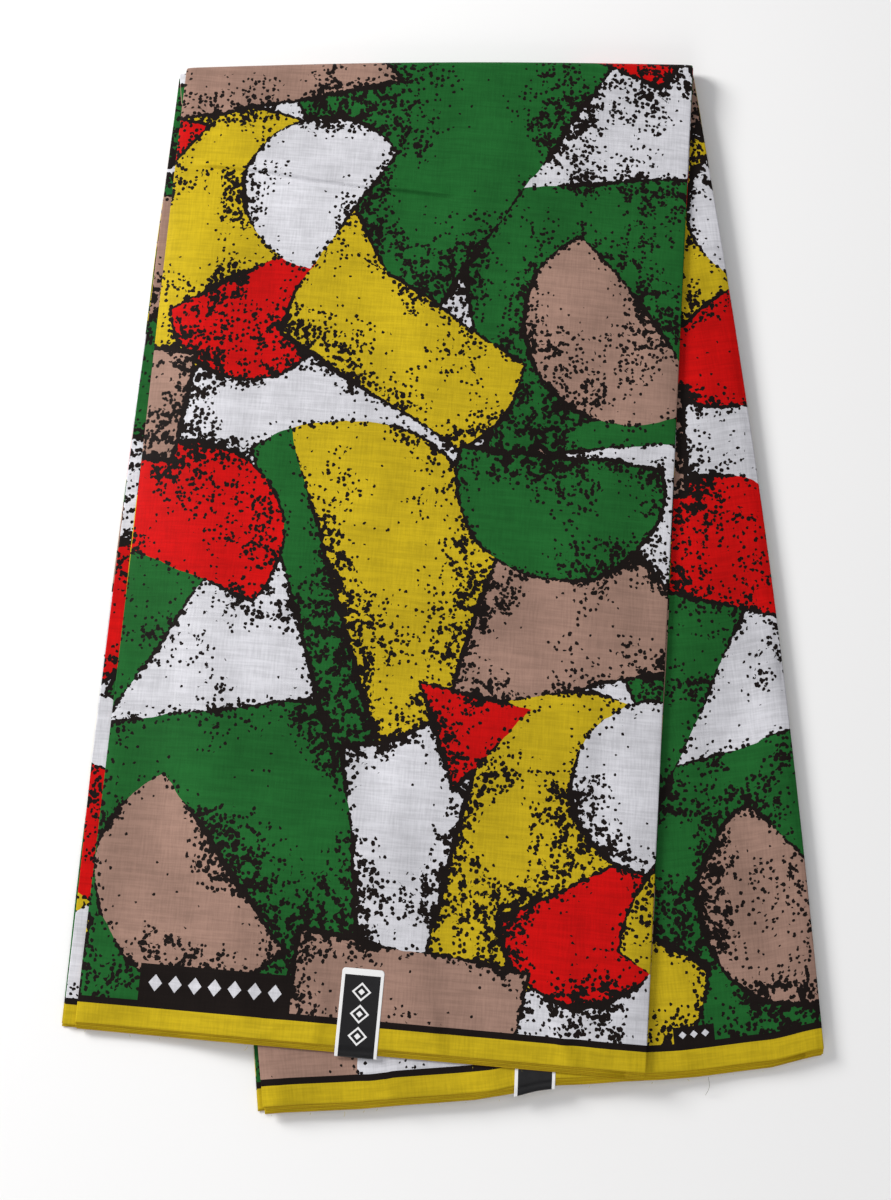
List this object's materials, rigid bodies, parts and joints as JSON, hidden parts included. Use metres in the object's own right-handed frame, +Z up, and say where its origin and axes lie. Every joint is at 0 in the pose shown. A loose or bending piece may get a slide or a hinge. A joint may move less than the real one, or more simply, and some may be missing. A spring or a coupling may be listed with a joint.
{
  "type": "folded african wax print cloth",
  "caption": "Long cotton wax print cloth folded zigzag into a flat bundle and once across the top, its slanted layers fanned out at the hems, lying flat.",
  "frame": {"origin": "middle of the bundle's footprint, on the surface it lies on", "axes": "+Z up off the surface, +Y from the hems towards the top fold, +X to the right as the front is seen"},
  "size_m": [0.405, 0.6036, 0.0137],
  "materials": {
    "wax_print": "waxed cotton print, low sheen",
    "label": "glossy stuck label with a white edge"
  },
  "bodies": {
    "root": {"front_stack": "wax_print", "right_stack": "wax_print", "left_stack": "wax_print", "back_stack": "wax_print", "hem_label": "label", "under_label": "label"}
  },
  "joints": []
}
